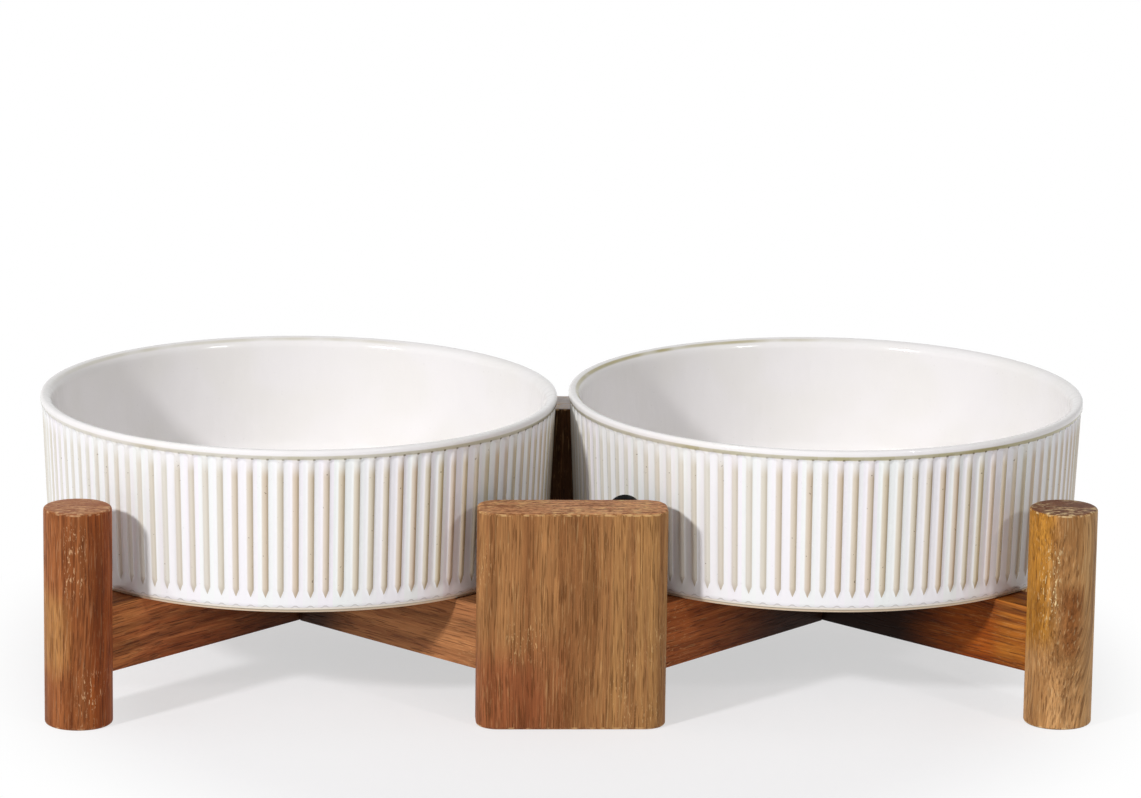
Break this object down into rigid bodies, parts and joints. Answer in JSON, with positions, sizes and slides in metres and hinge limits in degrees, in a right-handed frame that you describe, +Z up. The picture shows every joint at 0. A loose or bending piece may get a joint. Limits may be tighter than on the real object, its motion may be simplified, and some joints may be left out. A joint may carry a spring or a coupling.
{
  "type": "elevated pet bowl stand",
  "caption": "Low wooden stand with round legs, broad posts and crossed bars that carries ribbed ceramic pet bowls, which lift out for filling and washing.",
  "frame": {"origin": "middle of the stand's footprint, on the floor", "axes": "+X along the pair of bowls to the right, -Y the front, +Z up"},
  "size_m": [0.3156, 0.156, 0.0844],
  "materials": {
    "glaze": "gloss glaze, cream on the ribs",
    "leg_wood": "oiled, turned",
    "post_wood": "oiled, upright grain",
    "bar_wood": "oiled, grain along the bar",
    "dowel_wood": "bare beech",
    "bumper_rubber": "smooth black"
  },
  "bodies": {
    "stand": {"front_left_leg": "leg_wood", "rear_left_leg": "leg_wood", "front_right_leg": "leg_wood", "rear_right_leg": "leg_wood", "front_post": "post_wood", "rear_post": "post_wood", "left_lower_bar": "bar_wood", "left_upper_bar": "bar_wood", "right_lower_bar": "bar_wood", "right_upper_bar": "bar_wood", "front_left_leg_dowel": "dowel_wood", "rear_left_leg_dowel": "dowel_wood", "front_right_leg_dowel": "dowel_wood", "rear_right_leg_dowel": "dowel_wood", "front_post_left_dowel": "dowel_wood", "front_post_right_dowel": "dowel_wood", "rear_post_left_dowel": "dowel_wood", "rear_post_right_dowel": "dowel_wood", "front_left_bumper": "bumper_rubber", "rear_left_bumper": "bumper_rubber", "front_right_bumper": "bumper_rubber", "rear_right_bumper": "bumper_rubber"},
    "left_bowl": {"bowl_left": "glaze"},
    "right_bowl": {"bowl_right": "glaze"}
  },
  "joints": [
    {"name": "left_bowl_lift", "type": "slide", "parent": "stand", "child": "left_bowl", "axis": [0, 0, 1], "range_m": [0, 0.06]},
    {"name": "right_bowl_lift", "type": "slide", "parent": "stand", "child": "right_bowl", "axis": [0, 0, 1], "range_m": [0, 0.06]}
  ]
}
